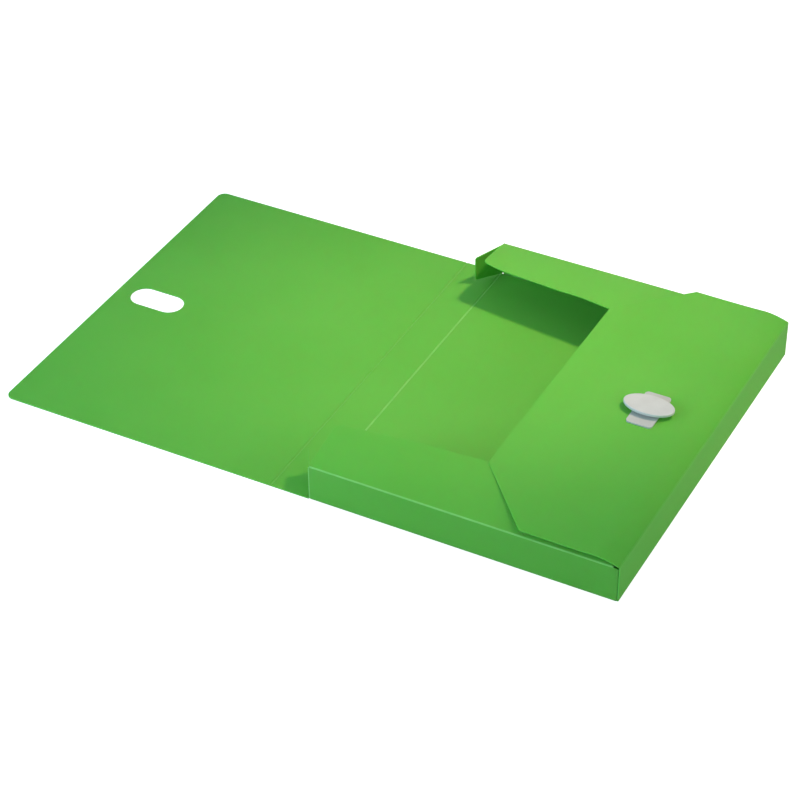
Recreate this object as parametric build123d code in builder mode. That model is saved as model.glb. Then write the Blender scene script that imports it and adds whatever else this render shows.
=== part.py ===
from build123d import *
import os
from math import cos, radians, sin, tan

# An A4 box file, cut and creased from one polypropylene sheet and lying open.
# Millimetres, +Z up. The cover lies on the left, the tray stands on the right,
# its fore wall at +X. The near side is at -Y and the far side at +Y.
# The origin is at the middle of the open file, on the surface it lies on.

# Outside sizes of the tray and the panels
depth = 330.0
base_width = 251.0
wall_height = 31.2
fore_wall_step = 1.0
spine_step = 0.8
cover_setback = 11.5
fore_wall_height = wall_height + fore_wall_step
spine_height = wall_height + spine_step
cover_width = base_width - cover_setback

# Sheet, and the thinned line of each crease
sheet = 0.8
web = 0.4
groove = 1.6
panel_gap = 0.4
running_gap = 0.3

# Side flaps, folded inwards over the papers and sprung up a little
flap_tilt = 3.2
flap_depth = 57.0
flap_spine_depth = 42.0
flap_spine_slant = 4.5
flap_taper_length = 118.0
flap_corner = 5.0
flap_end_gap = 5.0

# Closure flap, rolled over the fore wall and lying on both side flaps
closure_length = 129.0
closure_side = 78.0
closure_mitre = 55.5
closure_edge = depth - 2 * closure_mitre
closure_rise = 38.0
closure_roll = 35.0
closure_corner = 2.0

# Spine tabs of the side walls, sprung out over the spine
spine_tab_length = 28.0
spine_tab_fold = 60.0
spine_tab_foot = 3.2
spine_tab_drop = 3.6
tab_corner = 2.0

# Dust tabs of the side walls, tucked inside the fore wall
dust_tab_length = 25.0
dust_tab_drop = 5.0
tab_end_gap = 0.5

# Turn knob on the closure flap
knob_inset = 49.5
knob_reach = base_width - knob_inset
knob_length = 40.5
knob_width = 23.0
knob_thickness = 2.0
knob_edge = 0.6
knob_gap = 2.8
stem_radius = 4.0
stem_clearance = 0.15
plate_length = 41.0
plate_width = 21.0
plate_thickness = 1.2
plate_corner = 3.0
washer_radius = 8.0
washer_thickness = 1.2
washer_clearance = 0.1

# Cover, with the slot that the knob passes through
cover_corner = 7.0
hole_end_clearance = 3.5
hole_side_clearance = 0.5
hole_shift = 1.0
cover_hole_length = knob_length + 2 * hole_end_clearance
cover_hole_width = knob_width + 2 * hole_side_clearance
cover_hole_reach = knob_reach + hole_shift

# Crease lines: each one runs along the middle of its web
half_groove = groove / 2
half_web = web / 2
spine_x = (spine_height + cover_width - base_width) / 2
cover_x = spine_x - spine_height
cover_edge_x = cover_x - cover_width
fore_x = spine_x + base_width - half_web
side_y = depth / 2 - half_web
base_z = half_web
flap_z = wall_height - half_web
closure_z = fore_wall_height - half_web
spine_tab_x = spine_x + sheet + panel_gap + half_web
dust_tab_x = fore_x + half_web - sheet - running_gap - half_web

X = Vector(1, 0, 0)
Y = Vector(0, 1, 0)
Z = Vector(0, 0, 1)


def panel_plane(origin, toward, inner, fold):
    """Outer face of a panel that leaves a crease at the fold angle.

    The panel before the crease runs toward it, with its inner face on the inner side.
    The sketch's x is the distance from the crease, and extruding goes to the inner face.
    """
    angle = radians(fold)
    out = toward * cos(angle) + inner * sin(angle)
    normal = inner * cos(angle) - toward * sin(angle)
    return Plane(origin=Vector(*origin) - normal * half_web, x_dir=out, z_dir=normal)


def crease(middle, toward, inner, fold, length):
    """Thin web of one crease, bent to its fold angle, centred on the middle of its line."""
    with BuildPart() as strip:
        with BuildSketch(Plane(origin=middle, x_dir=toward, z_dir=toward.cross(inner))):
            if fold == 0:
                Rectangle(groove, web)
            else:
                bend = half_groove / tan(radians(fold) / 2)
                with BuildLine():
                    outer = CenterArc((-half_groove, bend), bend + half_web, -90, fold)
                    inside = CenterArc((-half_groove, bend), bend - half_web, -90, fold)
                    Line(outer @ 0, inside @ 0)
                    Line(outer @ 1, inside @ 1)
                make_face()
        extrude(amount=length / 2, both=True)
    return strip


def mirrored(piece):
    """The same piece on the far side."""
    with BuildPart() as twin:
        mirror(piece.part, about=Plane.XZ)
    return twin


def block(low, high):
    """Rectangle between two corners of the sketch."""
    with Locations(low):
        Rectangle(high[0] - low[0], high[1] - low[1], align=(Align.MIN, Align.MIN))


# Base panel
with BuildPart() as base_panel:
    with BuildSketch(Plane.XY):
        block((spine_x + half_groove, half_groove - side_y), (fore_x - half_groove, side_y - half_groove))
    extrude(amount=sheet)

# Spine panel
with BuildPart() as spine_panel:
    with BuildSketch(Plane.XY):
        block((cover_x + half_groove, -depth / 2), (spine_x - half_groove, depth / 2))
    extrude(amount=sheet)

# Cover panel, with round free corners and the slot that the knob passes through
with BuildPart() as cover_panel:
    with BuildSketch(Plane.XY):
        block((cover_edge_x, -depth / 2), (cover_x - half_groove, depth / 2))
    extrude(amount=sheet)
    fillet(cover_panel.edges().filter_by(Axis.Z).group_by(Axis.X)[0], radius=cover_corner)
    with BuildSketch(Plane.XY):
        with Locations((cover_x - cover_hole_reach, 0)):
            SlotOverall(cover_hole_length, cover_hole_width)
    extrude(amount=sheet, mode=Mode.SUBTRACT)

spine_crease = crease((spine_x, 0, base_z), X, Z, 0, depth)
cover_crease = crease((cover_x, 0, base_z), X, Z, 0, depth)

# Side walls
wall_start = spine_tab_x + half_groove
wall_end = dust_tab_x - half_groove
wall_plane = panel_plane((0, -side_y, base_z), -Y, Z, 90)
wall_middle = (wall_start + wall_end) / 2
wall_length = wall_end - wall_start

with BuildPart() as near_wall:
    with BuildSketch(wall_plane):
        block((half_groove, wall_start), (flap_z - base_z - half_groove, wall_end))
    extrude(amount=sheet)

near_wall_crease = crease((wall_middle, -side_y, base_z), -Y, Z, 90, wall_length)

# Side flaps: slanted at the spine end, widening towards the fore end and mitred there
flap_fold = 90 - flap_tilt
flap_end = fore_x - flap_end_gap
flap_mitre = flap_end - (flap_depth - half_groove)
flap_plane = panel_plane((0, -side_y, flap_z), Z, Y, flap_fold)

with BuildPart() as near_flap:
    with BuildSketch(flap_plane) as flap_outline:
        with BuildLine():
            Polyline(
                (half_groove, wall_start),
                (half_groove, flap_end),
                (flap_depth, flap_mitre),
                (flap_depth, wall_start + flap_taper_length),
                (flap_spine_depth, wall_start + flap_spine_slant),
                close=True,
            )
        make_face()
        fillet(flap_outline.vertices().sort_by(Axis.Y)[1], radius=flap_corner)
    extrude(amount=sheet)

flap_middle = (wall_start + flap_end) / 2
near_flap_crease = crease((flap_middle, -side_y, flap_z), Z, Y, flap_fold, flap_end - wall_start)

# Spine tabs: a lifted foot clears the rising spine, and the top drops below the flap
tab_foot = base_z + half_groove + tab_end_gap
tab_top = flap_z - half_groove - tab_end_gap
spine_tab_plane = panel_plane((spine_tab_x, -side_y, 0), -X, Y, spine_tab_fold)

with BuildPart() as near_spine_tab:
    with BuildSketch(spine_tab_plane) as tab_outline:
        with BuildLine():
            Polyline(
                (half_groove, tab_foot),
                (half_groove, tab_top),
                (spine_tab_length, tab_top - spine_tab_drop),
                (spine_tab_length, tab_foot + spine_tab_foot),
                close=True,
            )
        make_face()
        fillet(tab_outline.vertices().group_by(Axis.X)[-1], radius=tab_corner)
    extrude(amount=sheet)

tab_middle = (tab_foot + tab_top) / 2
tab_height = tab_top - tab_foot
near_spine_tab_crease = crease((spine_tab_x, -side_y, tab_middle), -X, Y, spine_tab_fold, tab_height)

# Dust tabs: the sketch's y runs down, so heights are negative there
dust_tab_plane = panel_plane((dust_tab_x, -side_y, 0), X, Y, 90)

with BuildPart() as near_dust_tab:
    with BuildSketch(dust_tab_plane) as tab_outline:
        with BuildLine():
            Polyline(
                (half_groove, -tab_foot),
                (half_groove, -tab_top),
                (dust_tab_length, dust_tab_drop - tab_top),
                (dust_tab_length, -tab_foot),
                close=True,
            )
        make_face()
        fillet(tab_outline.vertices().group_by(Axis.X)[-1], radius=tab_corner)
    extrude(amount=sheet)

near_dust_tab_crease = crease((dust_tab_x, -side_y, tab_middle), X, Y, 90, tab_height)

# Fore wall
fore_half = side_y - half_groove
fore_plane = panel_plane((fore_x, 0, base_z), X, Z, 90)

with BuildPart() as fore_wall:
    with BuildSketch(fore_plane):
        block((half_groove, -side_y), (closure_z - base_z - half_groove, side_y))
    extrude(amount=sheet)

fore_wall_crease = crease((fore_x, 0, base_z), X, Z, 90, 2 * fore_half)
closure_crease = crease((fore_x, 0, closure_z), Z, -X, 90 - closure_rise, 2 * side_y)

# Closure flap: rises steeply from the fore wall, rolls over and runs level to its free edge
rise = radians(closure_rise)
rise_way = Vector(-cos(rise), sin(rise))
rise_normal = Vector(sin(rise), cos(rise))
roll_start = Vector(fore_x, closure_z) + rise_way * half_groove
outer_start = roll_start + rise_normal * half_web
inner_start = roll_start - rise_normal * (sheet - half_web)
closure_free_x = fore_x - closure_length
closure_shoulder_x = fore_x - closure_side
roll_reach = 2 * closure_roll

with BuildPart() as closure_flap:
    with BuildSketch(Plane.XZ):
        with BuildLine():
            outer_roll = JernArc(outer_start, rise_way, closure_roll, closure_rise)
            inner_roll = JernArc(inner_start, rise_way, closure_roll - sheet, closure_rise)
            outer_end = (closure_free_x, (outer_roll @ 1).Y)
            inner_end = (closure_free_x, (inner_roll @ 1).Y)
            Line(outer_roll @ 1, outer_end)
            Line(inner_roll @ 1, inner_end)
            Line(outer_end, inner_end)
            Line(outer_roll @ 0, inner_roll @ 0)
        make_face()
    extrude(amount=depth / 2, both=True)
    with BuildSketch(Plane.XY) as closure_outline:
        with BuildLine():
            Polyline(
                (fore_x + roll_reach, -depth / 2),
                (closure_shoulder_x, -depth / 2),
                (closure_free_x, -closure_edge / 2),
                (closure_free_x, closure_edge / 2),
                (closure_shoulder_x, depth / 2),
                (fore_x + roll_reach, depth / 2),
                close=True,
            )
        make_face()
        fillet(closure_outline.vertices().group_by(Axis.X)[0], radius=closure_corner)
    extrude(amount=closure_z + roll_reach, mode=Mode.INTERSECT)
    with BuildSketch(Plane.XY):
        with Locations((spine_x + knob_reach, 0)):
            Circle(stem_radius + stem_clearance)
    extrude(amount=closure_z + roll_reach, mode=Mode.SUBTRACT)

# Turn knob: an oval disc on a stem, a plate under it and a washer inside the flap
knob_x = spine_x + knob_reach
plate_z = closure_flap.part.bounding_box().max.Z
disc_z = plate_z + plate_thickness + knob_gap
washer_z = plate_z - sheet - washer_clearance - washer_thickness

with BuildPart() as knob_plate:
    with BuildSketch(Plane((knob_x, 0, plate_z))):
        RectangleRounded(plate_width, plate_length, plate_corner)
        Circle(stem_radius + stem_clearance, mode=Mode.SUBTRACT)
    extrude(amount=plate_thickness)

with BuildPart() as knob:
    with BuildSketch(Plane((knob_x, 0, disc_z))):
        Ellipse(knob_length / 2, knob_width / 2)
    extrude(amount=knob_thickness)
    fillet(knob.faces().sort_by(Axis.Z)[-1].edges(), radius=knob_edge)
    with BuildSketch(Plane((knob_x, 0, washer_z))):
        Circle(stem_radius)
    extrude(amount=disc_z - washer_z)

with BuildPart() as knob_washer:
    with BuildSketch(Plane((knob_x, 0, washer_z))):
        Circle(washer_radius)
        Circle(stem_radius, mode=Mode.SUBTRACT)
    extrude(amount=washer_thickness)

pieces = {
    "base_panel": base_panel,
    "spine_panel": spine_panel,
    "cover_panel": cover_panel,
    "spine_crease": spine_crease,
    "cover_crease": cover_crease,
    "near_wall": near_wall,
    "near_wall_crease": near_wall_crease,
    "near_flap": near_flap,
    "near_flap_crease": near_flap_crease,
    "near_spine_tab": near_spine_tab,
    "near_spine_tab_crease": near_spine_tab_crease,
    "near_dust_tab": near_dust_tab,
    "near_dust_tab_crease": near_dust_tab_crease,
    "fore_wall": fore_wall,
    "fore_wall_crease": fore_wall_crease,
    "closure_flap": closure_flap,
    "closure_crease": closure_crease,
    "knob_plate": knob_plate,
    "knob": knob,
    "knob_washer": knob_washer,
}

# The far side's wall, flap and tabs mirror the near side's
for name, piece in list(pieces.items()):
    if name.startswith("near_"):
        pieces[name.replace("near_", "far_")] = mirrored(piece)

os.makedirs("parts", exist_ok=True)
for name, piece in pieces.items():
    piece.part.label = name
    export_step(piece.part, f"parts/{name}.step")
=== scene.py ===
# %% [markdown]
# # An open box file
# The real object is one sheet of green polypropylene, cut, creased and folded into a tray with a
# spine and a cover, and a grey turn knob that holds it shut. The CAD model is the frame: its panels
# are flat and exact, so most of them stay. What a plain panel can't show is made here, which is the
# creases, the flaps that spring up, and the finish of the sheet and the knob.

# %% Load the frame
import math

import bmesh
import bpy
from mathutils import Matrix, Vector


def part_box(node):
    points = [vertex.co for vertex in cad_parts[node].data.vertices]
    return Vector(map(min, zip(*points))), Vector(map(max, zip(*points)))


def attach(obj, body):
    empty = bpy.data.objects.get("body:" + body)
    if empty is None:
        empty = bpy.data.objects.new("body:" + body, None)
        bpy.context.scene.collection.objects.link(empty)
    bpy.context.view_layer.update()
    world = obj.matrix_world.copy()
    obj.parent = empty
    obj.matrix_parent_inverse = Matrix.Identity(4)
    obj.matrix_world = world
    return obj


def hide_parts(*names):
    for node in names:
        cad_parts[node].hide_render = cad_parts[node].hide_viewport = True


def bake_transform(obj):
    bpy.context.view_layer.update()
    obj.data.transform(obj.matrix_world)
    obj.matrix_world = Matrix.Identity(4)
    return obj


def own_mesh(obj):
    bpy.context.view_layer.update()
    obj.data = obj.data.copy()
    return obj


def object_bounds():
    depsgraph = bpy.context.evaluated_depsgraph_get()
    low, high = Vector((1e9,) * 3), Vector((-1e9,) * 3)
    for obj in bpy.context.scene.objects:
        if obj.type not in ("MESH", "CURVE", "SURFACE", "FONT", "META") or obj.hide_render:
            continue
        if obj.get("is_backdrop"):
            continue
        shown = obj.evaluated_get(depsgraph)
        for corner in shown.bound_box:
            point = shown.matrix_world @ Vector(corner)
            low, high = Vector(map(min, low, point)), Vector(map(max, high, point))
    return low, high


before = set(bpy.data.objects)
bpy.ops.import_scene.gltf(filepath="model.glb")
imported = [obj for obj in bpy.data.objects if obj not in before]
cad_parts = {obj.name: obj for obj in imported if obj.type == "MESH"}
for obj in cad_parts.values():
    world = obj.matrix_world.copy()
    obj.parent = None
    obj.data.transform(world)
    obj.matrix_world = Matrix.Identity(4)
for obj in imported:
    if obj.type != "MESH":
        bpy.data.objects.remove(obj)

cad_low, cad_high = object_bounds()
print("CAD box in mm", [round(1000 * size, 1) for size in cad_high - cad_low])

# %% [markdown]
# ## Camera
# The picture was taken with a long lens from the near right and well above. The place, the lens and
# the small roll come from fitting the four corners of the cover, the spine and the tray to the
# picture, so they are written down as numbers rather than aimed by eye.

# %% Camera
camera = bpy.data.objects.new("camera", bpy.data.cameras.new("camera"))
bpy.context.scene.collection.objects.link(camera)
camera.data.lens = 113.1
camera.data.sensor_width = 36.0
camera.data.clip_end = 20.0
heading, tip, roll = (math.radians(angle) for angle in (27.973, 52.504, -0.487))
turn = Matrix.Rotation(heading, 4, "Z") @ Matrix.Rotation(tip, 4, "X") @ Matrix.Rotation(roll, 4, "Z")
camera.matrix_world = Matrix.Translation((0.74465, -1.4001, 1.1925)) @ turn
bpy.context.scene.camera = camera
print("camera at", [round(place, 3) for place in camera.matrix_world.translation])

# %% [markdown]
# ## Writing shader maths as expressions
# A material is a graph of nodes, and a graph is slow to read as a list of links. The small class
# below wraps one output, so that `0.4 + 0.1 * grain` adds the Math nodes by itself. Every other node
# comes from one method, which takes its type, its settings and then its sockets.

# %% Shader helpers
class Wire:
    """One output of a node, which can be added to, taken from and multiplied."""

    def __init__(self, finish, socket):
        self.finish, self.socket = finish, socket

    def math(self, operation, first, second):
        return self.finish.node("ShaderNodeMath", {"operation": operation}, {0: first, 1: second})

    def __add__(self, other):
        return self.math("ADD", self, other)

    def __sub__(self, other):
        return self.math("SUBTRACT", self, other)

    def __rsub__(self, other):
        return self.math("SUBTRACT", other, self)

    def __mul__(self, other):
        return self.math("MULTIPLY", self, other)

    __radd__, __rmul__ = __add__, __mul__


class Finish:
    """A material that is being built."""

    def __init__(self, name):
        self.material = bpy.data.materials.new(name)
        self.material.use_nodes = True
        self.tree = self.material.node_tree
        self.tree.nodes.clear()

    def node(self, kind, settings=None, sockets=None, output=0):
        made = self.tree.nodes.new(kind)
        for name, value in (settings or {}).items():
            if name == "stops":
                for stop, (place, colour) in zip(made.color_ramp.elements, value):
                    stop.position, stop.color = place, colour
            else:
                setattr(made, name, value)
        for key, value in (sockets or {}).items():
            if isinstance(value, Wire):
                self.tree.links.new(value.socket, made.inputs[key])
            else:
                made.inputs[key].default_value = value
        return Wire(self, made.outputs[output]) if made.outputs else None

    def noise(self, place, scale, detail=2.0):
        return self.node("ShaderNodeTexNoise", None, {"Vector": place, "Scale": scale, "Detail": detail})

    def fade(self, factor, low, high):
        """A mask from 0 to 1, as factor goes from low to high."""
        stops = [(low, (0, 0, 0, 1)), (high, (1, 1, 1, 1))]
        return self.node("ShaderNodeValToRGB", {"stops": stops}, {"Fac": factor})

    def blend(self, factor, first, second):
        """Mixes two colours by factor."""
        return self.node("ShaderNodeMix", {"data_type": "RGBA"}, {0: factor, 6: first, 7: second}, 2)

    def finish(self, surface):
        self.node("ShaderNodeOutputMaterial", None, {"Surface": surface})
        print("finish", self.material.name, "has", len(self.tree.nodes), "nodes")
        return self.material


# %% [markdown]
# ## Green polypropylene sheet
# The sheet is calendered between rollers, which leaves a very fine pebble grain and a satin gloss.
# Colour is mixed into the plastic, so it hardly changes; what changes is the gloss, which papers and
# hands rub in long faint strokes. So the colour gets only a slow cloud, the roughness gets the cloud
# and the strokes, and the grain is a bump small enough to be felt rather than seen. The sheet is thin
# and translucent, and lets green light through into its own shadow. Scattering under the surface
# does this on a closed solid, and its radius is longest for green.

# %% Green sheet
grain_scale = 1400.0


def green_sheet(name, deep, bright):
    sheet = Finish(name)
    place = sheet.node("ShaderNodeTexCoord", output=3)
    cloud = sheet.noise(place, 9.0)
    stretched = sheet.node("ShaderNodeMapping", None, {"Vector": place, "Scale": (30.0, 900.0, 30.0)})
    strokes = sheet.fade(sheet.noise(stretched, 1.0, 3.0), 0.55, 0.8)
    grain = sheet.noise(place, grain_scale, 3.0)
    colour = sheet.blend(sheet.fade(cloud, 0.3, 0.7), deep, bright)
    bump = sheet.node("ShaderNodeBump", None, {"Strength": 0.25, "Distance": 0.00006, "Height": grain})
    sockets = {
        "Base Color": colour,
        "Roughness": 0.44 + 0.08 * cloud - 0.05 * strokes,
        "IOR": 1.49,
        "Normal": bump,
        "Specular IOR Level": 0.15,
        "Subsurface Weight": 1.0,
        "Subsurface Radius": (0.30, 1.0, 0.60),
        "Subsurface Scale": 0.0018,
    }
    return sheet.finish(sheet.node("ShaderNodeBsdfPrincipled", None, sockets))


sheet_finish = green_sheet("green_sheet", (0.134, 0.466, 0.056, 1), (0.148, 0.490, 0.065, 1))

# %% [markdown]
# ## Pressed creases
# A heated blade presses each crease to half the thickness. The plastic there is stretched, so it
# scatters light and turns paler, unevenly along the line, and the blade leaves it smoother than the
# sheet. The same recipe is used, with paler colours and patches of whitening. These pale colours are
# partly that real whitening and partly a painted highlight along the folds of the walls and flaps.
# Creases that are hardly worked, or whose bend is wide, keep nearly the colour of the sheet, so they
# get a second, greener mix without the painted highlight. The web is too thin for scattering under
# the surface, so that is left out.

# %% Crease
def crease_finish_of(name, deep, bright):
    crease = Finish(name)
    place = crease.node("ShaderNodeTexCoord", output=3)
    patches = crease.fade(crease.noise(place, 60.0, 3.0), 0.35, 0.75)
    grain = crease.noise(place, grain_scale, 2.0)
    colour = crease.blend(patches, deep, bright)
    bump = crease.node("ShaderNodeBump", None, {"Strength": 0.15, "Distance": 0.00005, "Height": grain})
    sockets = {
        "Base Color": colour,
        "Roughness": 0.36 + 0.1 * patches,
        "IOR": 1.49,
        "Specular IOR Level": 0.3,
        "Normal": bump,
    }
    return crease.finish(crease.node("ShaderNodeBsdfPrincipled", None, sockets))


# Paler than the sheet: real stress whitening plus a painted highlight along the folds.
crease_whitening_and_painted_highlight = crease_finish_of("green_crease", (0.185, 0.560, 0.095, 1), (0.250, 0.630, 0.140, 1))
fold_finish = crease_finish_of("green_fold", (0.140, 0.485, 0.056, 1), (0.154, 0.515, 0.066, 1))

# %% [markdown]
# ## Grey moulded plastic
# The knob, its plate and the washer are moulded in a spark-eroded tool, which gives them a matt skin
# of tiny pits. The plastic flows a little unevenly, so the grey is not quite even either.

# %% Grey plastic
def grey_plastic(name, deep, bright, pits):
    grey = Finish(name)
    place = grey.node("ShaderNodeTexCoord", output=3)
    flow = grey.noise(place, 90.0, 2.0)
    skin = grey.noise(place, 2600.0, 3.0)
    colour = grey.blend(grey.fade(flow, 0.3, 0.7), deep, bright)
    bump = grey.node("ShaderNodeBump", None, {"Strength": pits, "Distance": 0.00005, "Height": skin})
    sockets = {"Base Color": colour, "Roughness": 0.46 + 0.1 * skin, "IOR": 1.5, "Normal": bump}
    return grey.finish(grey.node("ShaderNodeBsdfPrincipled", None, sockets))


knob_finish = grey_plastic("knob_grey", (0.580, 0.575, 0.555, 1), (0.625, 0.620, 0.600, 1), 0.3)
plate_finish = grey_plastic("plate_grey", (0.500, 0.500, 0.480, 1), (0.545, 0.545, 0.525, 1), 0.2)

# %% [markdown]
# ## The flat panels stay
# The cover, spine, base, side walls and tabs are flat on the real file too, and the fore wall nearly
# so. Their CAD solids have the right outline and the right thickness, and only get the finishes.

# %% Finish the CAD nodes
grey_nodes = {"knob": knob_finish, "knob_washer": knob_finish, "knob_plate": plate_finish}
for name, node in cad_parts.items():
    finish = grey_nodes.get(name, crease_whitening_and_painted_highlight if name.endswith("_crease") else sheet_finish)
    for index in range(len(node.data.materials)):
        node.data.materials[index] = finish
print(len(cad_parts), "CAD nodes finished")

# %% [markdown]
# ## Making a mesh into a piece
# Each new piece is built in a bmesh, with its place in its mesh, so its object can sit at the origin.
# Edges where faces meet at a clear angle stay sharp, and all the others are shaded smooth.

# %% Piece helper
sharp_angle = math.radians(40)


def add_piece(name, shape, finish):
    for face in shape.faces:
        face.smooth = True
    for edge in shape.edges:
        edge.smooth = edge.calc_face_angle(0.0) < sharp_angle
    mesh = bpy.data.meshes.new(name)
    shape.to_mesh(mesh)
    shape.free()
    mesh.materials.append(finish)
    piece = bpy.data.objects.new(name, mesh)
    bpy.context.scene.collection.objects.link(piece)
    print(name, "has", len(mesh.polygons), "faces")
    return piece


# %% [markdown]
# ## Creases rolled round their folds
# On the real file a crease is the hinge: the sheet is thinned from inside and the outer skin runs
# round the fold. A rigid strip would tear away from its panels when they move. So each strip is a
# grid, closed by an extrusion, with its outer skin on the line of the sheet and its inner skin
# dipping to the web. It is rolled round its fold.

# %% Crease strips
sheet, web, groove = 0.0008, 0.0004, 0.0016
half_web, half_groove = web / 2, groove / 2
strip_steps, strip_length = 12, 0.02
plain_creases = ["cover_crease", "closure_crease", "fore_wall_crease"]
plain_creases += ["near_dust_tab_crease", "far_dust_tab_crease"]


def rolled(across, lift, along, middle, toward, inner, fold):
    """Where a point of a flat strip lands when the strip is rolled round its fold."""
    side = toward.cross(inner)
    if fold == 0:
        return middle + toward * across + inner * lift + side * along
    bend = half_groove / math.tan(fold / 2)
    angle = fold * (across / groove + 0.5)
    centre = middle - toward * half_groove + inner * bend
    return centre + (toward * math.sin(angle) - inner * math.cos(angle)) * (bend - lift) + side * along


def crease_strip(node, middle, toward, inner, fold, length):
    spot = [Vector(way) for way in (middle, toward, inner)] + [math.radians(fold)]
    strip = bmesh.new()
    rows = max(2, round(length / strip_length))
    bmesh.ops.create_grid(strip, x_segments=strip_steps, y_segments=rows, size=0.5)
    outer_skin = set(strip.verts)
    bmesh.ops.extrude_face_region(strip, geom=strip.faces[:])
    for point in strip.verts:
        across, along = point.co.x * groove, point.co.y * length
        thinning = abs(across / half_groove) ** 3
        lift = -half_web if point in outer_skin else half_web + (sheet - web) * thinning
        point.co = rolled(across, lift, along, *spot)
    bmesh.ops.recalc_face_normals(strip, faces=strip.faces)
    # Worked creases get the pale mix, which carries the painted fold highlight.
    finish = fold_finish if node in plain_creases else crease_whitening_and_painted_highlight
    piece = add_piece(node + "_bend", strip, finish)
    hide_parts(node)
    ends = [rolled(place, 0.0, 0.0, *spot) for place in (-half_groove, half_groove)]
    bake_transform(piece)


# %% [markdown]
# ## Where the creases lie
# The lines of the creases are read from the CAD nodes' boxes where those give them, and the rest are
# the sizes of the folded sheet. The near and the far side mirror each other, so one loop makes both.

# %% Place the creases
right, left, back, up = (1, 0, 0), (-1, 0, 0), (0, 1, 0), (0, 0, 1)
depth = cad_high.y - cad_low.y
side_y = depth / 2 - half_web
base_z = half_web
wall_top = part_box("near_wall")[1].z + half_groove
fore_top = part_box("fore_wall")[1].z + half_groove
fore_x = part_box("fore_wall")[1].x - half_web
spine_x = sum(corner.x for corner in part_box("spine_crease")) / 2
cover_x = sum(corner.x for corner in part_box("cover_crease")) / 2
flap_tilt, closure_rise, square, spine_tab_fold = 3.2, 38.0, 90, 60


def length_of(node, axis):
    low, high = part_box(node)
    return (high - low)[axis]


def centre_of(node):
    low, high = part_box(node)
    return (low + high) / 2


crease_strip("spine_crease", (spine_x, 0, base_z), right, up, 0, depth)
crease_strip("cover_crease", (cover_x, 0, base_z), right, up, 0, depth)
fore_length = length_of("fore_wall_crease", 1)
crease_strip("fore_wall_crease", (fore_x, 0, base_z), right, up, square, fore_length)
closure_fold, top_length = square - closure_rise, depth - web
crease_strip("closure_crease", (fore_x, 0, fore_top), up, left, closure_fold, top_length)
for side, way in (("near", -1), ("far", 1)):
    wall, edge, outward, inward = side + "_wall", way * side_y, (0, way, 0), (0, -way, 0)
    node = wall + "_crease"
    place = (centre_of(node).x, edge, base_z)
    crease_strip(node, place, outward, up, square, length_of(node, 0))
    node = side + "_flap_crease"
    place = (centre_of(node).x, edge, wall_top)
    crease_strip(node, place, up, inward, square - flap_tilt, length_of(node, 0))
    low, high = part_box(wall)
    spine_line, fore_line = low.x - half_groove, high.x + half_groove
    for tab, line, toward, fold in (
        ("spine_tab", spine_line, left, spine_tab_fold),
        ("dust_tab", fore_line, right, square),
    ):
        node = f"{side}_{tab}_crease"
        place = (line, edge, centre_of(node).z)
        crease_strip(node, place, toward, inward, fold, length_of(node, 2))

# %% [markdown]
# ## Helpers for lifted sheets
# A flap could be bent with a lattice or by sculpting, but it has to follow measured heights. So each is
# cut from a flat outline, which is sliced into small fields, since one flat face can't bend, and then
# lifted point by point. Only the middle of the sheet is made. Solidify gives it an even thickness
# afterwards, and Bevel softens the cut edge.

# %% Sheet helpers
def sliced(outline, across, places):
    """Cuts a flat outline with planes at the given places along one axis."""
    for place in places:
        everything = outline.verts[:] + outline.edges[:] + outline.faces[:]
        bmesh.ops.bisect_plane(outline, geom=everything, plane_co=across * place, plane_no=across)


def spread(low, high, step):
    """Places from low to high, about a step apart, without the two ends."""
    count = max(1, round((high - low) / step))
    return [low + (high - low) * index / count for index in range(1, count)]


def round_corners(outline, corners, radius, segments):
    """Rounds some corners of a flat outline."""
    bmesh.ops.bevel(
        outline, geom=corners, offset=radius, segments=segments, affect="VERTICES", profile=0.5, material=-1
    )


def smooth_between(stations, place):
    """A smooth curve through (place, value) stations."""
    if place <= stations[0][0]:
        return stations[0][1]
    for (start, first), (end, second) in zip(stations, stations[1:]):
        if place <= end:
            part = (place - start) / (end - start)
            return first + (second - first) * part * part * (3 - 2 * part)
    return stations[-1][1]


edge_round, edge_angle = 0.00012, math.radians(50)


def thicken(piece):
    """Gives a bent sheet its thickness and its soft cut edge."""
    solid = piece.modifiers.new("thickness", "SOLIDIFY")
    solid.thickness, solid.offset = sheet, 0.0
    soft = piece.modifiers.new("cut_edge", "BEVEL")
    soft.width, soft.segments, soft.limit_method, soft.angle_limit = edge_round, 2, "ANGLE", edge_angle
    even = piece.modifiers.new("even_shading", "WEIGHTED_NORMAL")
    even.keep_sharp = True


# %% [markdown]
# ## Side flaps that spring up
# A creased flap never lies quite flat, and its free edge lifts. The near flap lifts most at the spine
# and the far flap beside the closure flap, so each has a curve of its own, as pairs of a place along
# the flap and the lift there. Under the closure flap both are alike, and bear against its underside.
# When the cover closes the warp is pressed out; the sheets here are built only in their open, warped shape.

# %% Side flaps
flap_end_gap, pressed_share = 0.005, 0.04
flap_start, flap_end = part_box("near_wall")[0].x, fore_x - flap_end_gap
flap_depth, spine_depth, slant, taper = 0.057, 0.0435, 0.0012, 0.118
field, corner_round = 0.006, 0.005
held_rise = [(0.134, 0.0079), (0.160, 0.0074), (flap_end, 0.0072)]
near_rise = [(flap_start, 0.0108), (0.063, 0.0110), (0.094, 0.0100), (0.117, 0.0088)] + held_rise
far_rise = [(flap_start, 0.0078), (0.033, 0.0062), (0.078, 0.0072), (0.108, 0.0086)] + held_rise
curl_along = [(0.090, 0.35), (0.140, 0.65)]


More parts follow.
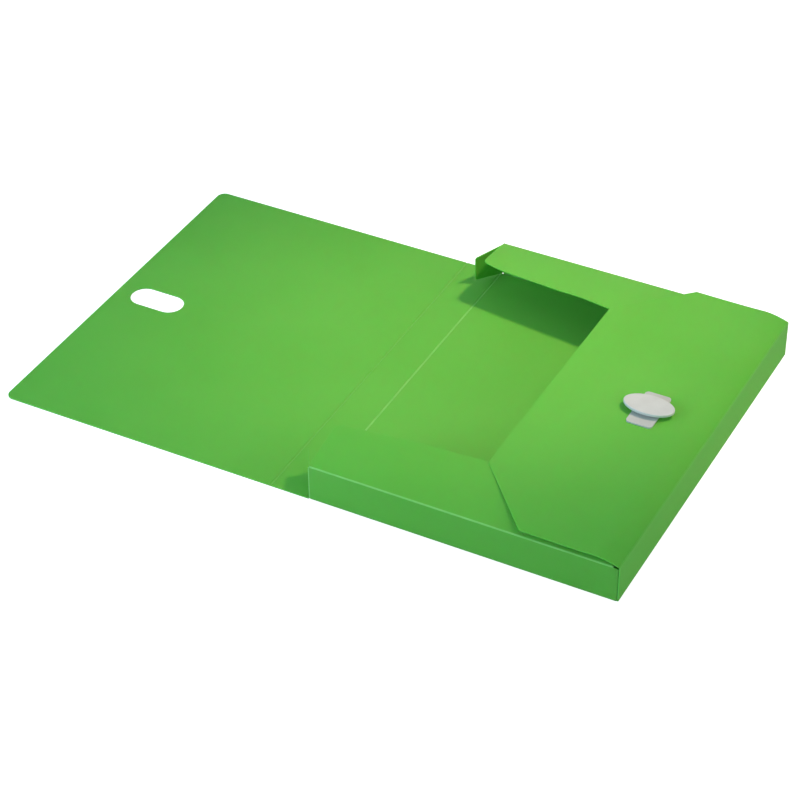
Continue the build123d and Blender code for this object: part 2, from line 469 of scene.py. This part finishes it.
def side_flap(side, way, rise_along):
    outline = bmesh.new()
    corners = [
        (flap_start, half_groove),
        (flap_end, half_groove),
        (flap_end - flap_depth + half_groove, flap_depth),
        (flap_start + taper, flap_depth),
        (flap_start + slant, spine_depth),
    ]
    points = [outline.verts.new((x, y, 0)) for x, y in corners]
    outline.faces.new(points)
    round_corners(outline, [points[-1]], corner_round, 6)
    sliced(outline, Vector(right), spread(flap_start, flap_end, field))
    sliced(outline, Vector(back), spread(half_groove, flap_depth, field))
    for point in outline.verts:
        x, reach = point.co.x, point.co.y
        edge_reach = min(flap_depth, spine_depth + (flap_depth - spine_depth) * (x - flap_start) / taper)
        share = reach / edge_reach
        curl = smooth_between(curl_along, x)
        rise = smooth_between(rise_along, x) * share * (1 + curl * (1 - share))
        point.co = (x, way * (side_y - reach * math.cos(rise / reach)), wall_top - half_web + rise)
    bmesh.ops.recalc_face_normals(outline, faces=outline.faces)
    piece = add_piece(side + "_flap_sheet", outline, sheet_finish)
    thicken(piece)
    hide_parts(side + "_flap")
    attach(piece, side + "_flap")
    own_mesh(piece)


side_flap("near", -1, near_rise)
side_flap("far", 1, far_rise)

# %% [markdown]
# ## Closure flap
# The closure flap rises from the fore wall, rolls over and lies across both side flaps. Past the
# knob it is held up only by the side flaps, so its two shoulders droop towards the side walls. It is
# cut from its plan outline, lifted onto the roll, and then let down at the shoulders. The knob's stem
# passes through it between plate and washer, which cover that place from both sides.

# %% Closure flap
slope, roll_radius = math.radians(closure_rise), 0.0346
closure_length, closure_side, free_half = 0.129, 0.078, 0.1095
free_x, shoulder_x = fore_x - closure_length, fore_x - closure_side
shoulder_y, free_corner = depth / 2 - 0.0001, 0.0012
start_x = fore_x - half_groove * math.cos(slope)
start_z = fore_top + half_groove * math.sin(slope)
hub_x = start_x - math.sin(slope) * (roll_radius + half_web)
hub_z = start_z - math.cos(slope) * (roll_radius + half_web)
roll_start_x = hub_x + roll_radius * math.sin(slope)
droop_most, droop_reach, droop_from, droop_back, droop_power = 0.0042, 0.009, 0.092, 0.0006, 1.2
roll_field, level_field, cross_field = 0.0016, 0.008, 0.0075


def roll_height(x):
    """Height of the middle of the sheet above the floor, across the roll and the level part."""
    over = max(0.0, x - hub_x)
    return hub_z + math.sqrt(max(0.0, roll_radius**2 - over**2))


def droop(x, y):
    """How far the shoulders hang: soon at its most behind the fore wall, and growing to the side."""
    away = fore_x - x
    share = min(1.0, max(0.0, (abs(y) - droop_from) / (depth / 2 - droop_from)))
    hang = droop_most * (1 - math.exp(-away / droop_reach)) - droop_back * (away / closure_side) ** 2
    return hang * share**droop_power


closure = bmesh.new()
plan = [
    (roll_start_x, -shoulder_y),
    (roll_start_x, shoulder_y),
    (shoulder_x, shoulder_y),
    (free_x, free_half),
    (free_x, -free_half),
    (shoulder_x, -shoulder_y),
]
points = [closure.verts.new((x, y, 0)) for x, y in plan]
closure.faces.new(points)
round_corners(closure, points[3:5], free_corner, 4)
roll_places, level_places = spread(hub_x, roll_start_x, roll_field), spread(free_x, hub_x, level_field)
sliced(closure, Vector(right), roll_places + level_places + [hub_x])
sliced(closure, Vector(back), spread(-depth / 2, depth / 2, cross_field))
for point in closure.verts:
    x, y, _ = point.co
    point.co.z = roll_height(x) - droop(x, y)
bmesh.ops.recalc_face_normals(closure, faces=closure.faces)
closure_piece = add_piece("closure_flap_sheet", closure, sheet_finish)
thicken(closure_piece)
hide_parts("closure_flap")
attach(closure_piece, "closure_flap")

# %% [markdown]
# ## Stage and light
# The picture has a white ground and one warm lamp, high on the right and a little behind, which
# throws the far flap's shadow onto the base. A soft spot aimed at the tray beside the spine does that,
# and its beam fades outwards, so cover and near corner are darker than the tray, as in the picture. A wide
# cool lamp on the near left brightens the near wall, one on the right brightens the fore wall, and
# the world fills the shadows. The floor adds its own white where the camera sees it, so it looks white
# but still takes the shadow, and it shows only faintly in the gloss of the walls.

# %% Floor and world
floor_size, floor_drop = 6.0, 0.0003
camera_glow, gloss_glow = 0.86, 0.2
floor_shape = bmesh.new()
bmesh.ops.create_grid(floor_shape, x_segments=1, y_segments=1, size=floor_size)
floor_mesh = bpy.data.meshes.new("floor")
floor_shape.to_mesh(floor_mesh)
floor_shape.free()
floor = bpy.data.objects.new("floor", floor_mesh)
bpy.context.scene.collection.objects.link(floor)
floor.location.z = -floor_drop
floor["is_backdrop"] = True

white = Finish("white_ground")
paths = white.tree.nodes.new("ShaderNodeLightPath")
by_camera, by_gloss = (Wire(white, paths.outputs[ray]) for ray in ("Is Camera Ray", "Is Glossy Ray"))
seen = camera_glow * by_camera + gloss_glow * by_gloss
matt = white.node("ShaderNodeBsdfDiffuse", None, {"Color": (0.55, 0.55, 0.55, 1)})
glow = white.node("ShaderNodeEmission", None, {"Color": (1, 1, 1, 1), "Strength": seen})
floor_mesh.materials.append(white.finish(white.node("ShaderNodeAddShader", None, {0: matt, 1: glow})))

world = bpy.data.worlds.new("studio")
bpy.context.scene.world = world
world.use_nodes = True
sky = world.node_tree
paths = sky.nodes.new("ShaderNodeLightPath")
shown, lit = sky.nodes.new("ShaderNodeBackground"), sky.nodes["Background"]
shown.inputs["Color"].default_value = (1, 1, 1, 1)
lit.inputs["Color"].default_value = (0.76, 1.0, 1.08, 1)
lit.inputs["Strength"].default_value = 0.42
choose = sky.nodes.new("ShaderNodeMixShader")
sky.links.new(paths.outputs["Is Camera Ray"], choose.inputs[0])
sky.links.new(lit.outputs[0], choose.inputs[1])
sky.links.new(shown.outputs[0], choose.inputs[2])
sky.links.new(choose.outputs[0], sky.nodes["World Output"].inputs["Surface"])

# %% Lamps
beam, bulb_radius, disk_size = math.radians(23), 0.08, 0.8
key_way = Vector((0.433, 0.251, 0.866))
fill_way = Vector((-0.52, -0.70, 0.46)).normalized()
side_way = Vector((0.92, -0.10, 0.38)).normalized()
# Name, kind, point aimed at, way to the lamp, distance, watts and tint.
lamps = [
    ("key_lamp", "SPOT", Vector((0.04, 0.07, 0)), key_way, 1.6, 80.0, (1.0, 0.72, 0.56)),
    ("fill_lamp", "AREA", Vector((-0.05, -0.10, 0)), fill_way, 1.2, 9.2, (0.70, 1.0, 1.35)),
    ("side_lamp", "AREA", Vector((0.26, 0, 0.02)), side_way, 1.2, 4.0, (0.66, 1.0, 0.5)),
]
for name, kind, aim, way, reach, power, tint in lamps:
    lamp = bpy.data.objects.new(name, bpy.data.lights.new(name, kind))
    bpy.context.scene.collection.objects.link(lamp)
    lamp.data.energy, lamp.data.color = power, tint
    lamp.location = aim + way * reach
    lamp.rotation_mode = "QUATERNION"
    lamp.rotation_quaternion = way.to_track_quat("Z", "Y")
    if kind == "SPOT":
        lamp.data.spot_size, lamp.data.spot_blend, lamp.data.shadow_soft_size = beam, 1.0, bulb_radius
    else:
        lamp.data.shape, lamp.data.size = "DISK", disk_size
    print(name, [round(place, 3) for place in lamp.location])
bpy.context.scene.view_settings.view_transform = "Standard"

# %% [markdown]
# ## Check the size
# The box of everything shown is measured, and its difference from the CAD model's box, in millimetres,
# is printed, to show whether the new pieces make the object bigger. The new pieces may not make the
# file bigger than the CAD model.

# %% Write the sizes and finish
shown_low, shown_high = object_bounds()
grown = [round(1000 * (a - b), 3) for a, b in zip(shown_high - shown_low, cad_high - cad_low)]
print("visual minus CAD in mm", grown)
